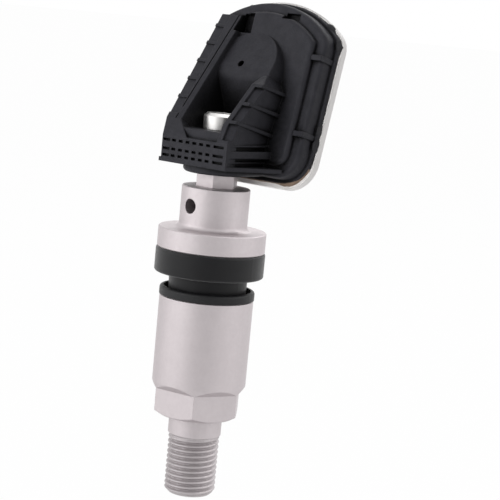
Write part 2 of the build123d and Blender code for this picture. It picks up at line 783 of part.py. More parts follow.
with BuildPart() as crystal:
    with BuildSketch(HOUSING.offset(board_back)):
        with Locations((crystal_right - CRYSTAL_W / 2, CRYSTAL_ALONG)):
            RectangleRounded(CRYSTAL_W, CRYSTAL_L, CRYSTAL_CORNER_R)
    extrude(amount=-CRYSTAL_H)
crystal.part.label = "crystal"
export_step(crystal.part, "parts/crystal.step")

# Wake-up antenna on the board's back: a ferrite core with cheeks, and its winding
antenna_middle = board_back - ANTENNA_CHEEK_OUT - ANTENNA_CORE_T / 2
antenna_plane = Plane(
    origin=HOUSING.from_local_coords(((crystal_right + chip_left) / 2, ANTENNA_ALONG, antenna_middle)),
    x_dir=HOUSING.y_dir,
    z_dir=(1, 0, 0),
)
winding_length = ANTENNA_L - 2 * ANTENNA_CHEEK
with BuildPart() as antenna_core:
    with BuildSketch(antenna_plane):
        Rectangle(ANTENNA_CORE_W, ANTENNA_CORE_T)
    extrude(amount=ANTENNA_L / 2, both=True)
    with BuildSketch(antenna_plane.offset(winding_length / 2), antenna_plane.offset(-ANTENNA_L / 2)):
        Rectangle(ANTENNA_CORE_W + 2 * ANTENNA_CHEEK_OUT, ANTENNA_CORE_T + 2 * ANTENNA_CHEEK_OUT)
    extrude(amount=ANTENNA_CHEEK)
antenna_core.part.label = "antenna_core"
export_step(antenna_core.part, "parts/antenna_core.step")

with BuildPart() as antenna_winding:
    with BuildSketch(antenna_plane):
        Rectangle(ANTENNA_CORE_W + 2 * ANTENNA_WINDING_OUT, ANTENNA_CORE_T + 2 * ANTENNA_WINDING_OUT)
        Rectangle(ANTENNA_CORE_W, ANTENNA_CORE_T, mode=Mode.SUBTRACT)
    extrude(amount=winding_length / 2, both=True)
antenna_winding.part.label = "antenna_winding"
export_step(antenna_winding.part, "parts/antenna_winding.step")

# Battery, with one welded tab on the board's side and one on the cover's side
with BuildPart() as battery_cell:
    with BuildSketch(HOUSING.offset(battery_back)):
        with Locations((base_middle, BATTERY_PLACE)):
            Circle(BATTERY_R)
    extrude(amount=BATTERY_H - BATTERY_STEP_H)
    with BuildSketch(HOUSING.offset(battery_front)):
        with Locations((base_middle, BATTERY_PLACE)):
            Circle(BATTERY_STEP_R)
    extrude(amount=-BATTERY_STEP_H)
battery_cell.part.label = "battery_cell"
export_step(battery_cell.part, "parts/battery_cell.step")

with BuildPart() as battery_tab_negative:
    with BuildSketch(HOUSING.offset(board_back)):
        with Locations((base_middle, BATTERY_PLACE)):
            Rectangle(TAB_W, 2 * TAB_REACH)
    extrude(amount=-TAB_T)
battery_tab_negative.part.label = "battery_tab_negative"
export_step(battery_tab_negative.part, "parts/battery_tab_negative.step")

riser_place = BATTERY_PLACE - BATTERY_R - TAB_RISER_GAP
with BuildPart() as battery_tab_positive:
    with BuildSketch(HOUSING_SIDE.offset(base_middle)):
        with BuildLine():
            Polyline(
                (BATTERY_PLACE, battery_back),
                (BATTERY_PLACE, battery_back - TAB_T),
                (riser_place - TAB_T, battery_back - TAB_T),
                (riser_place - TAB_T, board_back),
                (riser_place, board_back),
                (riser_place, battery_back),
                close=True,
            )
        make_face()
    extrude(amount=TAB_W / 2, both=True)
battery_tab_positive.part.label = "battery_tab_positive"
export_step(battery_tab_positive.part, "parts/battery_tab_positive.step")

# Valve stem: one turned piece, with the hexagon neck on top
screw_hole_z = seat_z - SCREW_LENGTH - SCREW_TIP_ROOM
with BuildPart() as valve_stem:
    with BuildSketch(Plane.XZ) as stem_section:
        with BuildLine():
            Polyline(
                (0, tip_z),
                (CAP_THREAD_R - CAP_THREAD_CHAMFER, tip_z),
                (CAP_THREAD_R, tip_z + CAP_THREAD_CHAMFER),
                (CAP_THREAD_R, cap_thread_top_z),
                (PLAIN_R, cap_thread_top_z),
                (PLAIN_R, nut_thread_low_z),
                (NUT_THREAD_R, nut_thread_low_z),
                (NUT_THREAD_R, nut_thread_top_z),
                (SHANK_R, nut_thread_top_z),
                (SHANK_R, flange_z),
                (FLANGE_R, flange_z),
                (FLANGE_R, collar_z),
                (COLLAR_R, collar_z),
                (COLLAR_R, hex_neck_z),
                (0, hex_neck_z),
                close=True,
            )
        make_face()
        collar_root = stem_section.vertices().sort_by_distance((COLLAR_R, collar_z))[0]
        fillet(collar_root, COLLAR_ROOT_R)
        edges = [(FLANGE_R, flange_z), (FLANGE_R, collar_z), (COLLAR_R, hex_neck_z)]
        chamfer([stem_section.vertices().sort_by_distance(place)[0] for place in edges], FLANGE_EDGE)
    revolve(axis=Axis.Z)
    with BuildSketch(Plane.XY.offset(hex_neck_z)):
        RegularPolygon(HEX_NECK_AF / 2, 6, major_radius=False)
    extrude(amount=hex_top_z - hex_neck_z)
    # Room for the core, the air passage and its side hole, and the tapped hole for the screw
    for radius, low, high in (
        (CORE_HEAD_R + CORE_CLEARANCE, tip_z, core_shoulder_z),
        (core_room_r, core_shoulder_z, core_room_end_z),
        (AIR_PASSAGE_R, core_room_end_z, air_hole_z + AIR_HOLE_R + AIR_HOLE_ROOM),
        (SCREW_R + TIGHT_FIT, screw_hole_z, hex_top_z),
    ):
        with BuildSketch(Plane.XY.offset(low)):
            Circle(radius)
        extrude(amount=high - low, mode=Mode.SUBTRACT)
    turn = radians(AIR_HOLE_TURN)
    with BuildSketch(Plane(origin=(0, 0, air_hole_z), z_dir=(sin(turn), -cos(turn), 0))):
        Circle(AIR_HOLE_R)
    extrude(amount=FLANGE_R, mode=Mode.SUBTRACT)
valve_stem.part.label = "valve_stem"
export_step(valve_stem.part, "parts/valve_stem.step")

# Mounting screw with a socket head
with BuildPart() as mounting_screw:
    with BuildSketch(Plane.XY.offset(seat_z)):
        Circle(SCREW_HEAD_R)
    extrude(amount=SCREW_HEAD_H)
    chamfer(mounting_screw.edges().group_by(Axis.Z)[-1], SCREW_HEAD_EDGE)
    with BuildSketch(Plane.XY.offset(seat_z)):
        Circle(SCREW_R)
    extrude(amount=-SCREW_LENGTH)
    with BuildSketch(Plane.XY.offset(seat_z + SCREW_HEAD_H)):
        RegularPolygon(SCREW_SOCKET_AF / 2, 6, major_radius=False)
    extrude(amount=-SCREW_SOCKET_DEPTH, mode=Mode.SUBTRACT)
mounting_screw.part.label = "mounting_screw"
export_step(mounting_screw.part, "parts/mounting_screw.step")

# Grommet
with BuildPart() as grommet:
    with BuildSketch(Plane.XZ) as grommet_section:
        with BuildLine():
            Polyline(
                (SHANK_R + TIGHT_FIT, flange_z),
                (grommet_r, flange_z),
                (grommet_r, 0),
                (NECK_R, 0),
                (NECK_R - NECK_DRAFT, -NECK_DEPTH),
                (SHANK_R + TIGHT_FIT, -NECK_DEPTH),
                close=True,
            )
        make_face()
        rounded = [(grommet_r, flange_z), (grommet_r, 0)]
        fillet([grommet_section.vertices().sort_by_distance(place)[0] for place in rounded], GROMMET_EDGE_R)
        neck_end = grommet_section.vertices().sort_by_distance((NECK_R - NECK_DRAFT, -NECK_DEPTH))[0]
        chamfer(neck_end, NECK_EDGE)
    revolve(axis=Axis.Z)
grommet.part.label = "grommet"
export_step(grommet.part, "parts/grommet.step")

# Thrust washer on top of the nut
with BuildPart() as thrust_washer:
    with BuildSketch(Plane.XY.offset(washer_low_z)):
        Circle(WASHER_R)
        Circle(WASHER_BORE_R, mode=Mode.SUBTRACT)
    extrude(amount=WASHER_H)
    fillet(thrust_washer.edges().group_by(Axis.Z)[-1].sort_by(SortBy.RADIUS)[-1], WASHER_EDGE_R)
thrust_washer.part.label = "thrust_washer"
export_step(thrust_washer.part, "parts/thrust_washer.step")

# Shape of the nut's hexagon end, with flats that run out on a slope into the sleeve
with BuildPart() as hexagon_end:
    with BuildSketch(Plane.XY.offset(nut_low_z)):
        RegularPolygon(NUT_HEX_AF / 2, 6, major_radius=False, rotation=NUT_HEX_TURN)
    extrude(amount=NUT_HEX_H)
    with BuildSketch(Plane.XY.offset(nut_hex_top_z)):
        RegularPolygon(NUT_HEX_AF / 2, 6, major_radius=False, rotation=NUT_HEX_TURN)
    with BuildSketch(Plane.XY.offset(nut_hex_top_z + NUT_RUN_OUT)):
        RegularPolygon(NUT_R, 6, major_radius=False, rotation=NUT_HEX_TURN)
    loft()
    with BuildSketch(Plane.XY.offset(nut_hex_top_z + NUT_RUN_OUT)):
        RegularPolygon(NUT_R, 6, major_radius=False, rotation=NUT_HEX_TURN)
    extrude(amount=NUT_H - NUT_HEX_H - NUT_RUN_OUT)

# Sleeve nut
nut_pocket_z = -(NECK_DEPTH + WASHER_DROP + NUT_POCKET_ROOM)
with BuildPart() as sleeve_nut:
    with BuildSketch(Plane.XZ):
        with BuildLine():
            Polyline(
                (NUT_THREAD_R + THREAD_CLEARANCE, nut_low_z),
                (NUT_R - NUT_TAPER - NUT_END_CHAMFER, nut_low_z),
                (NUT_R - NUT_TAPER, nut_low_z + NUT_END_CHAMFER_H),
                (NUT_R - NUT_TAPER, nut_hex_top_z),
                (NUT_R, nut_hex_top_z + NUT_RUN_OUT),
                (NUT_R, washer_low_z - NUT_TOP_CHAMFER),
                (NUT_R - NUT_TOP_CHAMFER, washer_low_z),
                (NECK_R + NUT_POCKET_CLEARANCE, washer_low_z),
                (NECK_R + NUT_POCKET_CLEARANCE, nut_pocket_z),
                (NUT_THREAD_R + THREAD_CLEARANCE, nut_pocket_z),
                close=True,
            )
        make_face()
    revolve(axis=Axis.Z)
    add(hexagon_end.part, mode=Mode.INTERSECT)
sleeve_nut.part.label = "sleeve_nut"
export_step(sleeve_nut.part, "parts/sleeve_nut.step")

# Valve core: a screwed-in body with a slotted head and a barrel
with BuildPart() as core_body:
    with BuildSketch(Plane.XZ):
        with BuildLine():
            Polyline(
                (PIN_R + CORE_CLEARANCE, core_low_z),
                (CORE_HEAD_R, core_low_z),
                (CORE_HEAD_R, core_shoulder_z),
                (CORE_BARREL_R, core_shoulder_z),
                (CORE_BARREL_R, core_end_z),
                (PIN_R + CORE_CLEARANCE, core_end_z),
                (PIN_R + CORE_CLEARANCE, core_wall_z),
                (CORE_BORE_R, core_wall_z),
                (CORE_BORE_R, core_bore_low_z),
                (PIN_R + CORE_CLEARANCE, core_bore_low_z),
                close=True,
            )
        make_face()
    revolve(axis=Axis.Z)
    with BuildSketch(Plane.XY.offset(core_low_z)):
        Rectangle(2 * CORE_HEAD_R, 2 * (PIN_HEAD_R + CORE_SLOT_CLEARANCE))
    extrude(amount=core_slot_z - core_low_z, mode=Mode.SUBTRACT)
core_body.part.label = "core_body"
export_step(core_body.part, "parts/core_body.step")

# Gasket round the core's barrel
with BuildPart() as core_gasket:
    with BuildSketch(Plane.XY.offset(core_shoulder_z)):
        Circle(core_room_r - TIGHT_FIT)
        Circle(CORE_BARREL_R + TIGHT_FIT, mode=Mode.SUBTRACT)
    extrude(amount=CORE_GASKET_H)
core_gasket.part.label = "core_gasket"
export_step(core_gasket.part, "parts/core_gasket.step")

# Pin through the core, with a head at the tip, a collar for the spring and a cup for its seal
with BuildPart() as core_pin:
    for radius, low, high in (
        (PIN_R, pin_low_z, pin_top_z),
        (PIN_HEAD_R, pin_low_z, pin_low_z + PIN_HEAD_H),
        (PIN_COLLAR_R, pin_collar_z, pin_collar_z + PIN_COLLAR_H),
        (PIN_CUP_R, pin_cup_z, pin_top_z),
    ):
        with BuildSketch(Plane.XY.offset(low)):
            Circle(radius)
        extrude(amount=high - low)
core_pin.part.label = "core_pin"
export_step(core_pin.part, "parts/core_pin.step")

with BuildPart() as core_pin_seal:
    with BuildSketch(Plane.XY.offset(pin_seal_z)):
        Circle(PIN_CUP_R)
        Circle(PIN_R + CORE_CLEARANCE, mode=Mode.SUBTRACT)
    extrude(amount=PIN_SEAL_H)
core_pin_seal.part.label = "core_pin_seal"
export_step(core_pin_seal.part, "parts/core_pin_seal.step")

# Return spring between the pin's collar and the core's inner wall
spring_low_z = pin_collar_z + PIN_COLLAR_H + SPRING_GAP + SPRING_WIRE_R
spring_high_z = core_wall_z - SPRING_GAP - SPRING_WIRE_R
with BuildPart() as core_spring:
    with BuildLine() as spring_path:
        Helix(
            pitch=(spring_high_z - spring_low_z) / SPRING_TURNS,
            height=spring_high_z - spring_low_z,
            radius=SPRING_R,
            center=(0, 0, spring_low_z),
        )
    with BuildSketch(Plane(origin=spring_path.line @ 0, z_dir=spring_path.line % 0)):
        RegularPolygon(SPRING_WIRE_R, SPRING_WIRE_SIDES)
    sweep(path=spring_path.line, is_frenet=True)
core_spring.part.label = "core_spring"
export_step(core_spring.part, "parts/core_spring.step")
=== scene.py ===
import bmesh
import bpy
import json
from math import cos, exp, pi, radians, sin
from mathutils import Matrix, Vector, noise
from mathutils.geometry import convex_hull_2d


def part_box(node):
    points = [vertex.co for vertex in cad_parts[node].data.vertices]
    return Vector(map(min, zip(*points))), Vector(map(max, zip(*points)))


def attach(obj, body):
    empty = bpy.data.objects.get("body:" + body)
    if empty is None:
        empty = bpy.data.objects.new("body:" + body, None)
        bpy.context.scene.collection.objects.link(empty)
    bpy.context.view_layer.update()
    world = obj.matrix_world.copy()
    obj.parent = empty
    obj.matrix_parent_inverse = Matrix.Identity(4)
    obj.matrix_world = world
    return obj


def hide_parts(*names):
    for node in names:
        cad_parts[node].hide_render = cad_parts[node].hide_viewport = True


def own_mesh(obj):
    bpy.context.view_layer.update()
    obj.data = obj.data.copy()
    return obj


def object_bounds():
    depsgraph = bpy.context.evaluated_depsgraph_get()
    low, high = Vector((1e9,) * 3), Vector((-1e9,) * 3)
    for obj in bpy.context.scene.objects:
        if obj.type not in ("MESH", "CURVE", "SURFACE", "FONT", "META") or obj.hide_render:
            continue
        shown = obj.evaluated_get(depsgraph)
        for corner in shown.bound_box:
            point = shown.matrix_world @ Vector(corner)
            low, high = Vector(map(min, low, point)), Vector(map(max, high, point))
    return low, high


# Looks of a tyre pressure sensor on its clamp-in valve. Lengths are metres, in the frame of the solids:
# Z runs up the valve to the housing, and the housing's front faces -Y.

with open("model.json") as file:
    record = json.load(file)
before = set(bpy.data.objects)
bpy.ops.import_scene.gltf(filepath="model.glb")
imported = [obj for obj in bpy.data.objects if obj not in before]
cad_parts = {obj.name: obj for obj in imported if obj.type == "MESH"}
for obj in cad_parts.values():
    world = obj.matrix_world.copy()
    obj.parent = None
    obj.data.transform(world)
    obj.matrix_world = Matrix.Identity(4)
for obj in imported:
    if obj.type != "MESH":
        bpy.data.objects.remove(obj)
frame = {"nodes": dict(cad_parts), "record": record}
cad_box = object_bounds()
nodes = frame["nodes"]
mounts = {mount["name"]: mount for mount in frame["record"]["mounts"]}
middle = Vector((cad_box[0] + cad_box[1]) / 2)

MM = 0.001

# Camera: where it stands round the valve's axis, in degrees, how it is aimed, and its lens
CAMERA_AZIMUTH = 40
CAMERA_DISTANCE = 231.3 * MM
CAMERA_HEIGHT = 37.6 * MM
CAMERA_YAW = 0.025
CAMERA_PITCH = 0.144
CAMERA_ROLL = 0.094
CAMERA_LENS = 113.84
CAMERA_SENSOR = 36

# Floor and world: the floor's place and size, how white it is seen, and the lower levels at which the two
# light the object
FLOOR_DROP = 45 * MM
FLOOR_SIZE = 40.0
FLOOR_COLOUR = (0.8, 0.8, 0.8)
FLOOR_WHITE = 0.985
FLOOR_BOUNCE = 0.55
WORLD_LEVEL = 0.11

# Softboxes, each with its azimuth and elevation in degrees, its distance, size and power, and whether
# shiny surfaces show it
SOFTBOXES = (
    ("key_softbox", -30, -2, 0.7, 0.9, 3.3, True),
    ("fill_softbox", 0, 0, 0.7, 0.6, 4.8, False),
    ("side_softbox", 120, 25, 0.6, 0.6, 0.7, True),
    ("top_softbox", 180, 62, 0.6, 0.8, 2.9, True),
)

# Glowing card behind the camera, which only metal and gloss show
CARD_ELEVATION = 8
CARD_DISTANCE = 0.5
CARD_SIZE = 0.5
CARD_LEVEL = 0.6

# Surfaces: the size of patches in tone and in gloss, the grains in a patch of gloss on stretched metal, the
# detail of tones and of grain, the openness of deep and of open places, between which shade is painted into
# the colour, and the samples for rounded edges and for deep places
TONE_PATCH = 1.5 * MM
GLOSS_PATCH = TONE_PATCH / 3
GLOSS_GRAINS = 2
TONE_DETAIL = 3.0
GRAIN_DETAIL = 2.0
PAINTED_SHADE_OPENNESS = (0.47, 0.74)
EDGE_SAMPLES = 6
PAINTED_SHADE_SAMPLES = 8
RUBBER_SHEEN = 0.25

# The pieces made here are smooth, apart from edges that turn by more than this
SHARP_ANGLE = radians(35)

# Cap thread on the tip of the stem. A power above 1 makes the groove narrower than the crest, and a hair's
# breadth tells the wall of the tip from the faces beside it.
THREAD_PITCH = 25.4 / 32 * MM
THREAD_DEPTH = 0.4 * MM
THREAD_GROOVE_POWER = 1.3
THREAD_CHAMFER = 0.6 * MM
THREAD_RUN_OUT = 0.7 * MM
THREAD_STEPS_ROUND = 144
THREAD_STEPS_A_PITCH = 14
HAIR = 0.02 * MM
MERGE_GAP = HAIR / 100

# Housing: its lean, its foot on the valve's axis, and its own directions
HOUSING_LEAN = radians(13.4)
HOUSING_FOOT = 14.99 * MM
HOUSING_ACROSS = Vector((1, 0, 0))
HOUSING_UP = Vector((0, sin(HOUSING_LEAN), cos(HOUSING_LEAN)))
HOUSING_OUT = Vector((0, -cos(HOUSING_LEAN), sin(HOUSING_LEAN)))
FOOT_UP = HOUSING_FOOT * cos(HOUSING_LEAN)

# Bead along the seam: its points, how many of them to each side give its direction, its section, which is
# flat underneath, and the height of its lower, brown run
BEAD_POINTS = 480
BEAD_NEIGHBOUR = 2
BEAD_RING = 12
BEAD_SEAT = 0.3 * MM
BEAD_OUT = 0.1 * MM
BEAD_TALL = 0.3 * MM
BEAD_UNDERSIDE = -0.4
BEAD_BROWN_BELOW = 3.2 * MM

# Waves and ripples along the bead, with their shares in how far it stands out and how tall it is
BEAD_WAVE = 1.6 * MM
BEAD_RIPPLE = BEAD_WAVE / 3
OUT_WAVE = 0.5
OUT_RIPPLE = 0.3
TALL_WAVE = 0.35
TALL_RIPPLE = 0.25

# Lumps of the bead in millimetres, each with the place where it sits across and up the housing, how far
# it stands out, how tall it is and how far it spreads. A high power gives them full, blunt shapes, and
# ripples have a share in how far they stand out.
BEAD_LUMPS = (
    (-5.6, 26.3, 0.55, 0.5, 1.3),
    (10.3, 24.8, 0.35, 0.3, 0.9),
    (12.5, 22.0, 0.22, 0.6, 1.3),
    (12.4, 9.1, 0.2, 0.6, 0.9),
    (12.4, 6.8, 0.21, 0.7, 1.0),
    (9.0, 0.8, 0.15, 0.4, 2.0),
)
LUMP_POWER = 4
LUMP_RIPPLE = 0.3


def add_camera():
    """The photograph's camera. Its azimuth turns it about the valve's axis."""
    aim = Vector((
        sin(CAMERA_YAW) * cos(CAMERA_PITCH),
        cos(CAMERA_YAW) * cos(CAMERA_PITCH),
        -sin(CAMERA_PITCH),
    ))
    level = Vector((cos(CAMERA_YAW), -sin(CAMERA_YAW), 0))
    upright = level.cross(aim)
    right = cos(CAMERA_ROLL) * level + sin(CAMERA_ROLL) * upright
    up = cos(CAMERA_ROLL) * upright - sin(CAMERA_ROLL) * level
    turn = Matrix.Rotation(radians(CAMERA_AZIMUTH), 3, "Z")
    axes = turn @ Matrix((right, up, -aim)).transposed()
    place = turn @ Vector((0, -CAMERA_DISTANCE, CAMERA_HEIGHT))
    data = bpy.data.cameras.new("camera")
    data.lens = CAMERA_LENS
    data.sensor_width = CAMERA_SENSOR
    data.clip_start = MM
    camera = bpy.data.objects.new("camera", data)
    camera.matrix_world = Matrix.LocRotScale(place, axes, None)
    bpy.context.scene.collection.objects.link(camera)
    bpy.context.scene.camera = camera


# Studio


def direction(azimuth, elevation):
    """The way to a place round the object, from angles in degrees. Azimuth 0 is in front, at -Y."""
    a, e = radians(azimuth), radians(elevation)
    return Vector((sin(a) * cos(e), -cos(a) * cos(e), sin(e)))


def seen_directly(tree):
    """1 on rays that show the background, directly or in metal and glass, and 0 on other rays."""
    path = tree.nodes.new("ShaderNodeLightPath")
    total = path.outputs["Is Camera Ray"]
    for name in ("Is Glossy Ray", "Is Transmission Ray"):
        larger = tree.nodes.new("ShaderNodeMath")
        larger.operation = "MAXIMUM"
        tree.links.new(total, larger.inputs[0])
        tree.links.new(path.outputs[name], larger.inputs[1])
        total = larger.outputs[0]
    return total


def glowing(name, strength):
    """A material for the studio: itself, its tree, and a glow that isn't linked yet."""
    made = bpy.data.materials.new(name)
    made.use_nodes = True
    glow = made.node_tree.nodes.new("ShaderNodeEmission")
    glow.inputs["Strength"].default_value = strength
    return made, made.node_tree, glow


def plain_sheet(name, size, place, facing, material):
    """A square sheet of the studio, facing a direction."""
    half = size / 2
    corners = [(-half, -half, 0), (half, -half, 0), (half, half, 0), (-half, half, 0)]
    mesh = bpy.data.meshes.new(name)
    mesh.from_pydata(corners, [], [(0, 1, 2, 3)])
    mesh.materials.append(material)
    sheet = bpy.data.objects.new(name, mesh)
    sheet.matrix_world = Matrix.LocRotScale(place, facing.to_track_quat("Z", "Y"), None)
    bpy.context.scene.collection.objects.link(sheet)
    return sheet


def add_world():
    """A world that shows white and lights the object at a lower level."""
    world = bpy.data.worlds.new("studio_world")
    bpy.context.scene.world = world
    world.use_nodes = True
    tree = world.node_tree
    background = tree.nodes["Background"]
    background.inputs["Color"].default_value = (1, 1, 1, 1)
    level = tree.nodes.new("ShaderNodeMapRange")
    level.inputs["To Min"].default_value = WORLD_LEVEL
    tree.links.new(seen_directly(tree), level.inputs["Value"])
    tree.links.new(level.outputs["Result"], background.inputs["Strength"])


def add_softboxes():
    """The square lamps, each turned to the middle of the object."""
    for name, azimuth, elevation, distance, size, power, in_shiny in SOFTBOXES:
        data = bpy.data.lights.new(name, "AREA")
        data.size = size
        data.energy = power
        lamp = bpy.data.objects.new(name, data)
        lamp.visible_glossy = in_shiny
        towards = direction(azimuth, elevation)
        turn = towards.to_track_quat("Z", "Y")
        lamp.matrix_world = Matrix.LocRotScale(middle + distance * towards, turn, None)
        bpy.context.scene.collection.objects.link(lamp)


def add_floor():
    """A pale floor that keeps a little of the object's shadow."""
    white, tree, glow = glowing("studio_floor", 1)
    matt = tree.nodes["Principled BSDF"]
    matt.inputs["Base Color"].default_value = (*FLOOR_COLOUR, 1)
    matt.inputs["Roughness"].default_value = 1
    matt.inputs["Specular IOR Level"].default_value = 0
    share = tree.nodes.new("ShaderNodeMapRange")
    share.inputs["To Min"].default_value = FLOOR_BOUNCE
    share.inputs["To Max"].default_value = FLOOR_WHITE
    tree.links.new(seen_directly(tree), share.inputs["Value"])
    mix = tree.nodes.new("ShaderNodeMixShader")
    tree.links.new(share.outputs["Result"], mix.inputs["Fac"])
    tree.links.new(matt.outputs[0], mix.inputs[1])
    tree.links.new(glow.outputs[0], mix.inputs[2])
    tree.links.new(mix.outputs[0], tree.nodes["Material Output"].inputs["Surface"])
    place = Vector((0, 0, cad_box[0].z - FLOOR_DROP))
    plain_sheet("studio_floor", FLOOR_SIZE, place, Vector((0, 0, 1)), white)


def add_card():
    """A card behind the camera that glows less than the white world, so that metal is darker in front."""
    grey, tree, glow = glowing("studio_card", CARD_LEVEL)
    tree.links.new(glow.outputs[0], tree.nodes["Material Output"].inputs["Surface"])
    towards = direction(CAMERA_AZIMUTH, CARD_ELEVATION)
    card = plain_sheet("studio_card", CARD_SIZE, middle + CARD_DISTANCE * towards, -towards, grey)
    card.visible_camera = False
    card.visible_diffuse = False


# Node helpers for the materials


def new_material(name, metallic, specular=0.5):
    """An empty material: itself, its tree and its shader."""
    made = bpy.data.materials.new(name)
    made.use_nodes = True
    shader = made.node_tree.nodes["Principled BSDF"]
    shader.inputs["Metallic"].default_value = metallic
    shader.inputs["Specular IOR Level"].default_value = specular
    return made, made.node_tree, shader


def noise_of(tree, size, detail=TONE_DETAIL, stretch=(1, 1, 1)):
    """Noise over the object's own coordinates, with features of about a size in metres."""
    place = tree.nodes.new("ShaderNodeTexCoord")
    mapping = tree.nodes.new("ShaderNodeMapping")
    mapping.inputs["Scale"].default_value = [1 / (size * s) for s in stretch]
    texture = tree.nodes.new("ShaderNodeTexNoise")
    texture.inputs["Scale"].default_value = 1
    texture.inputs["Detail"].default_value = detail
    tree.links.new(place.outputs["Object"], mapping.inputs["Vector"])
    tree.links.new(mapping.outputs["Vector"], texture.inputs["Vector"])
    return texture.outputs["Fac"]


def spread(tree, value, low, high, start=0.3, end=0.7):
    """A value mapped from a start and an end, as a rule the middle of noise, to two new ends."""
    mapped = tree.nodes.new("ShaderNodeMapRange")
    mapped.inputs["From Min"].default_value = start
    mapped.inputs["From Max"].default_value = end
    mapped.inputs["To Min"].default_value = low
    mapped.inputs["To Max"].default_value = high
    tree.links.new(value, mapped.inputs["Value"])
    return mapped.outputs["Result"]


def mixed(tree, value, first, second):
    """A colour between two, by a value."""
    mix = tree.nodes.new("ShaderNodeMix")
    mix.data_type = "RGBA"
    tree.links.new(value, mix.inputs["Factor"])
    for name, colour in (("A", first), ("B", second)):
        socket = [s for s in mix.inputs if s.name == name and s.type == "RGBA"][0]
        socket.default_value = (*colour, 1)
    return [s for s in mix.outputs if s.type == "RGBA"][0]


def rounded_bump(tree, shader, height, depth, edge):
    """A bump of a depth on the shader, over edges that are rounded by a radius."""
    bump = tree.nodes.new("ShaderNodeBump")
    bump.inputs["Distance"].default_value = depth
    tree.links.new(height, bump.inputs["Height"])
    if edge:
        rounding = tree.nodes.new("ShaderNodeBevel")
        rounding.samples = EDGE_SAMPLES
        rounding.inputs["Radius"].default_value = edge
        tree.links.new(rounding.outputs["Normal"], bump.inputs["Normal"])
    tree.links.new(bump.outputs["Normal"], shader.inputs["Normal"])


def painted_shade_inside(tree, colour, share, reach):
    """Painted shade: a colour that falls to a share of itself in deep places, which open less far than a
    reach.
    """
    openness = tree.nodes.new("ShaderNodeAmbientOcclusion")
    openness.samples = PAINTED_SHADE_SAMPLES
    openness.inputs["Distance"].default_value = reach
    level = spread(tree, openness.outputs["AO"], share, 1.0, *PAINTED_SHADE_OPENNESS)
    scaled = tree.nodes.new("ShaderNodeVectorMath")
    scaled.operation = "SCALE"
    tree.links.new(colour, scaled.inputs["Vector"])
    tree.links.new(level, scaled.inputs["Scale"])
    return scaled.outputs["Vector"]


def moulded(name, dark, light, rough, grain, depth, edge=0.0, metallic=0.0, specular=0.5, deep=None):
    """A moulded, cast or blasted surface: two close tones in patches, uneven gloss and a fine grain.

    With deep, a share and a reach, it has shade painted into its colour in deep places.
    """
    made, tree, shader = new_material(name, metallic, specular)
    colour = mixed(tree, noise_of(tree, TONE_PATCH), dark, light)
    if deep:
        colour = painted_shade_inside(tree, colour, *deep)
    gloss = spread(tree, noise_of(tree, GLOSS_PATCH), *rough)
    tree.links.new(colour, shader.inputs["Base Color"])
    tree.links.new(gloss, shader.inputs["Roughness"])
    rounded_bump(tree, shader, noise_of(tree, grain, GRAIN_DETAIL), depth, edge)
    return made


def stretched_metal(name, dark, light, rough, grain, depth, edge, stretch):
    """Turned or wound metal: tones and fine rings that are stretched one way."""
    made, tree, shader = new_material(name, 1.0)
    colour = mixed(tree, noise_of(tree, grain, TONE_DETAIL, stretch), dark, light)
    gloss = spread(tree, noise_of(tree, GLOSS_GRAINS * grain, GRAIN_DETAIL, stretch), *rough)
    tree.links.new(colour, shader.inputs["Base Color"])
    tree.links.new(gloss, shader.inputs["Roughness"])
    rounded_bump(tree, shader, noise_of(tree, grain, GRAIN_DETAIL, stretch), depth, edge)
    return made


# Materials that are seen from outside


def housing_plastic():
    """Black plastic with a coarse grain, and painted shade in the channel and the bays."""
    return moulded(
        "housing_plastic",
        dark=(0.017, 0.017, 0.0205),
        light=(0.034, 0.0335, 0.040),
        rough=(0.42, 0.6),
        grain=0.25 * MM,
        depth=0.035 * MM,
        edge=0.26 * MM,
        specular=0.12,
        # Painted shade: the colour falls to 5% of itself where the housing opens less than 10 mm
        deep=(0.05, 10 * MM),
    )


def cover_plastic():
    """White plastic of the back cover."""
    return moulded(
        "cover_plastic",
        dark=(0.74, 0.72, 0.71),
        light=(0.8, 0.78, 0.77),
        rough=(0.4, 0.55),
        grain=0.2 * MM,
        depth=0.01 * MM,
        edge=0.2 * MM,
    )


def bead_plastic(name, dark, light):
    """Dull, lumpy plastic that was squeezed out of the seam."""
    return moulded(name, dark, light, rough=(0.6, 0.8), grain=0.25 * MM, depth=0.06 * MM, specular=0.12)


def grommet_rubber():
    """Black rubber, paler where it turns away."""
    made = moulded(
        "grommet_rubber",
        dark=(0.002, 0.002, 0.0027),
        light=(0.004, 0.0038, 0.005),
        rough=(0.36, 0.48),
        grain=0.2 * MM,
        depth=0.003 * MM,
        edge=0.12 * MM,
        specular=0.2,
    )
    made.node_tree.nodes["Principled BSDF"].inputs["Sheen Weight"].default_value = RUBBER_SHEEN
    return made


def washer_plastic():
    """Black plastic of the washer on the nut."""
    return moulded(
        "washer_plastic",
        dark=(0.007, 0.007, 0.008),
        light=(0.012, 0.012, 0.013),
        rough=(0.4, 0.55),
        grain=0.1 * MM,
        depth=0.01 * MM,
        edge=0.15 * MM,
        specular=0.28,
    )


def blasted_aluminium():
    """Finely blasted aluminium of the stem and the nut."""
    return moulded(
        "blasted_aluminium",
        dark=(0.525, 0.482, 0.494),
        light=(0.575, 0.53, 0.542),
        rough=(0.46, 0.56),
        grain=0.06 * MM,
        depth=0.008 * MM,
        edge=0.12 * MM,
        metallic=1.0,
    )


def thread_aluminium():
    """The same metal on the cut thread, where it is a little darker."""
    return moulded(
        "thread_aluminium",
        dark=(0.44, 0.41, 0.416),
        light=(0.5, 0.466, 0.475),
        rough=(0.48, 0.6),
        grain=0.06 * MM,
        depth=0.01 * MM,
        metallic=1.0,
    )


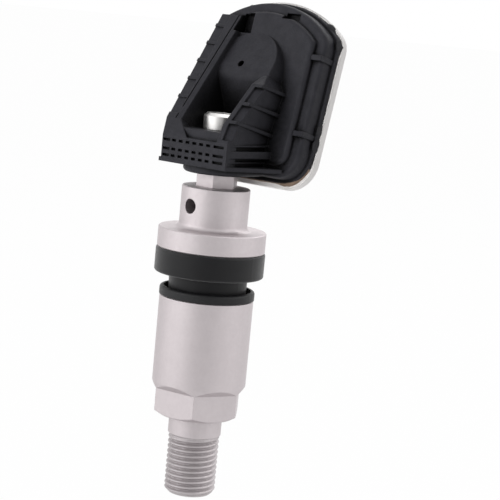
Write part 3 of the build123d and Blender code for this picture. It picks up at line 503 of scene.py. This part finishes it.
def plated_steel():
    """Bright plated steel of the screw, the battery and other small metal."""
    return moulded(
        "plated_steel",
        dark=(0.62, 0.61, 0.6),
        light=(0.7, 0.69, 0.68),
        rough=(0.32, 0.42),
        grain=0.3 * MM,
        depth=0.001 * MM,
        edge=0.1 * MM,
        metallic=1.0,
    )


# Materials inside the housing and the stem


def turned_brass():
    """Brass of the valve core, with rings from turning."""
    return stretched_metal(
        "turned_brass",
        dark=(0.62, 0.44, 0.18),
        light=(0.74, 0.55, 0.26),
        rough=(0.22, 0.36),
        grain=0.05 * MM,
        depth=0.004 * MM,
        edge=0.06 * MM,
        stretch=(20, 20, 1),
    )


def enamelled_copper():
    """Copper wire, wound in fine turns round the antenna's core."""
    return stretched_metal(
        "enamelled_copper",
        dark=(0.55, 0.2, 0.08),
        light=(0.7, 0.3, 0.13),
        rough=(0.3, 0.42),
        grain=0.08 * MM,
        depth=0.02 * MM,
        edge=0.05 * MM,
        stretch=(1, 20, 20),
    )


def solder_mask():
    """Green lacquer of the circuit board."""
    return moulded(
        "solder_mask",
        dark=(0.008, 0.07, 0.025),
        light=(0.015, 0.11, 0.04),
        rough=(0.3, 0.45),
        grain=0.3 * MM,
        depth=0.01 * MM,
        edge=0.05 * MM,
    )


def chip_epoxy():
    """Black epoxy of the chips."""
    return moulded(
        "chip_epoxy",
        dark=(0.01, 0.01, 0.011),
        light=(0.016, 0.016, 0.017),
        rough=(0.5, 0.65),
        grain=0.08 * MM,
        depth=0.01 * MM,
        edge=0.05 * MM,
    )


def antenna_ferrite():
    """Dark grey ferrite of the antenna's core."""
    return moulded(
        "ferrite",
        dark=(0.03, 0.03, 0.032),
        light=(0.06, 0.06, 0.06),
        rough=(0.5, 0.7),
        grain=0.1 * MM,
        depth=0.02 * MM,
        edge=0.05 * MM,
    )


def gasket_silicone():
    """Grey silicone of the gasket at the port."""
    return moulded(
        "gasket_silicone",
        dark=(0.4, 0.4, 0.41),
        light=(0.5, 0.5, 0.5),
        rough=(0.5, 0.6),
        grain=0.15 * MM,
        depth=0.01 * MM,
        edge=0.1 * MM,
    )


def core_seal():
    """Red seal of the valve core."""
    return moulded(
        "core_seal",
        dark=(0.3, 0.02, 0.015),
        light=(0.4, 0.03, 0.02),
        rough=(0.4, 0.5),
        grain=0.1 * MM,
        depth=0.01 * MM,
        edge=0.05 * MM,
    )


# Pieces


def new_piece(name, mesh_data, materials, body, slot, *replaced):
    """An object from a finished bmesh, smooth up to its sharp edges, that stands for solids."""
    mesh = bpy.data.meshes.new(name)
    mesh_data.to_mesh(mesh)
    mesh_data.free()
    if "custom_normal" in mesh.attributes:
        mesh.attributes.remove(mesh.attributes["custom_normal"])
    mesh.shade_smooth()
    mesh.set_sharp_from_angle(angle=SHARP_ANGLE)
    for material in materials:
        mesh.materials.append(material)
    piece = bpy.data.objects.new(name, mesh)
    bpy.context.scene.collection.objects.link(piece)
    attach(piece, body)
    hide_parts(*replaced)
    return piece


def thread_radius(angle, height, low, high, outer):
    """Radius of the cap thread, which turns right-handed and runs out at the top."""
    phase = 2 * pi * (height - low) / THREAD_PITCH - angle
    groove = (0.5 - 0.5 * cos(phase)) ** THREAD_GROOVE_POWER
    fade = min(1, max(0, (high - height) / THREAD_RUN_OUT))
    chamfer = outer - THREAD_CHAMFER + (height - low)
    return min(outer - THREAD_DEPTH * groove * fade, chamfer)


def threaded_stem(material, thread_material):
    """The valve stem, with a cut thread in place of the plain wall of its tip."""
    mount = mounts["cap_thread"]
    outer = mount["dims"]["r_mm"] * MM
    inner = outer - THREAD_CHAMFER - HAIR
    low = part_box("valve_stem")[0].z
    high = low + THREAD_CHAMFER + mount["dims"]["length_mm"] * MM
    made = bmesh.new()
    made.from_mesh(nodes["valve_stem"].data)
    bmesh.ops.remove_doubles(made, verts=made.verts, dist=MERGE_GAP)

    def on_tip_wall(face):
        outside = all(vert.co.xy.length > inner for vert in face.verts)
        return outside and any(vert.co.z < high - HAIR for vert in face.verts)

    wall = [face for face in made.faces if on_tip_wall(face)]
    bmesh.ops.delete(made, geom=wall, context="FACES")
    for face in made.faces:
        face.material_index = 0

    rows = round((high - low) / THREAD_PITCH * THREAD_STEPS_A_PITCH)
    rings = []
    for row in range(rows + 1):
        height = low + (high - low) * row / rows
        ring = []
        for step in range(THREAD_STEPS_ROUND):
            angle = 2 * pi * step / THREAD_STEPS_ROUND
            radius = thread_radius(angle, height, low, high, outer)
            ring.append(made.verts.new((radius * cos(angle), radius * sin(angle), height)))
        rings.append(ring)
    for lower, upper in zip(rings, rings[1:]):
        for step in range(THREAD_STEPS_ROUND):
            after = (step + 1) % THREAD_STEPS_ROUND
            turn = made.faces.new((lower[step], lower[after], upper[after], upper[step]))
            turn.material_index = 1
    materials = [material, thread_material]
    return new_piece("threaded_stem", made, materials, "sensor", "stem_aluminium", "valve_stem")


def base_outline():
    """The outline along the seam bead, across and up the housing, as evenly spaced points."""
    flat = [Vector((v.co.x, v.co.dot(HOUSING_UP))) for v in nodes["seam_bead"].data.vertices]
    hull = [flat[i] for i in convex_hull_2d(flat)]
    lengths = [(b - a).length for a, b in zip(hull, hull[1:] + hull[:1])]
    gap = sum(lengths) / BEAD_POINTS
    points, corner, gone = [], 0, 0.0
    for i in range(BEAD_POINTS):
        while i * gap > gone + lengths[corner]:
            gone += lengths[corner]
            corner += 1
        start, end = hull[corner], hull[(corner + 1) % len(hull)]
        points.append(start.lerp(end, (i * gap - gone) / lengths[corner]))
    return points


def bead_section(point):
    """How far the bead stands out and how tall it is at a point of its outline."""
    wave = noise.noise(Vector((point.x, point.y, 0)) / BEAD_WAVE)
    ripple = noise.noise(Vector((point.x, point.y, BEAD_WAVE)) / BEAD_RIPPLE)
    reach = BEAD_OUT * (1 + OUT_WAVE * wave + OUT_RIPPLE * ripple)
    tall = BEAD_TALL * (1 + TALL_WAVE * wave + TALL_RIPPLE * ripple)
    for lump_across, lump_up, lump_out, lump_tall, lump_spread in BEAD_LUMPS:
        far = (point - Vector((lump_across * MM, FOOT_UP + lump_up * MM))).length
        share = exp(-((far / (lump_spread * MM)) ** LUMP_POWER))
        reach += lump_out * MM * share * (1 + LUMP_RIPPLE * ripple)
        tall += lump_tall * MM * share
    return reach, tall


def squeezed_bead(material, lower_material):
    """The bead along the seam, uneven in width and with lumps where it was squeezed out."""
    seam = min(v.co.dot(HOUSING_OUT) for v in nodes["seam_bead"].data.vertices)
    outline = base_outline()
    made = bmesh.new()
    rings = []
    for i, point in enumerate(outline):
        ahead = outline[(i + BEAD_NEIGHBOUR) % BEAD_POINTS] - outline[i - BEAD_NEIGHBOUR]
        normal = Vector((ahead.y, -ahead.x)).normalized()
        reach, tall = bead_section(point)
        ring = []
        for step in range(BEAD_RING):
            angle = 2 * pi * step / BEAD_RING
            side = point + normal * (reach * cos(angle) - BEAD_SEAT)
            level = seam + tall * max(sin(angle), BEAD_UNDERSIDE)
            place = side.x * HOUSING_ACROSS + side.y * HOUSING_UP + level * HOUSING_OUT
            ring.append(made.verts.new(place))
        rings.append(ring)
    for i, ring in enumerate(rings):
        following = rings[(i + 1) % BEAD_POINTS]
        is_brown = outline[i].y < FOOT_UP + BEAD_BROWN_BELOW
        for step in range(BEAD_RING):
            after = (step + 1) % BEAD_RING
            face = made.faces.new((ring[step], ring[after], following[after], following[step]))
            face.material_index = 1 if is_brown else 0
    bmesh.ops.recalc_face_normals(made, faces=made.faces)
    materials = [material, lower_material]
    return new_piece("squeezed_bead", made, materials, "sensor", "bead", "seam_bead")


def pressed_spring(material):
    """The spring of the valve core, as a piece with a mesh of its own."""
    made = bmesh.new()
    made.from_mesh(nodes["core_spring"].data)
    spring = new_piece("pressed_spring", made, [material], "sensor", "steel", "core_spring")
    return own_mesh(spring)


def finish_nodes():
    """A material for every solid that stays, and the pieces that stand for the others."""
    black = housing_plastic()
    cover = cover_plastic()
    bead = bead_plastic("seam_bead", (0.018, 0.018, 0.02), (0.05, 0.049, 0.053))
    brown_bead = bead_plastic("seam_bead_brown", (0.12, 0.088, 0.066), (0.3, 0.215, 0.16))
    rubber = grommet_rubber()
    washer = washer_plastic()
    aluminium = blasted_aluminium()
    thread_metal = thread_aluminium()
    steel = plated_steel()
    finishes = {
        black: ["housing"],
        cover: ["base_cover"],
        rubber: ["grommet", "core_pin_seal"],
        washer: ["thrust_washer"],
        aluminium: ["sleeve_nut"],
        steel: [
            "mounting_screw",
            "battery_cell",
            "battery_tab_positive",
            "battery_tab_negative",
            "crystal",
        ],
        turned_brass(): ["core_body", "core_pin"],
        enamelled_copper(): ["antenna_winding"],
        solder_mask(): ["circuit_board"],
        chip_epoxy(): ["radio_chip", "pressure_sensor"],
        antenna_ferrite(): ["antenna_core"],
        gasket_silicone(): ["port_gasket"],
        core_seal(): ["core_gasket"],
    }
    for material, names in finishes.items():
        for name in names:
            for slot in nodes[name].material_slots:
                slot.material = material
    threaded_stem(aluminium, thread_metal)
    squeezed_bead(bead, brown_bead)
    pressed_spring(steel)


bpy.context.scene.view_settings.view_transform = "Standard"
add_camera()
add_world()
add_softboxes()
add_floor()
add_card()
finish_nodes()
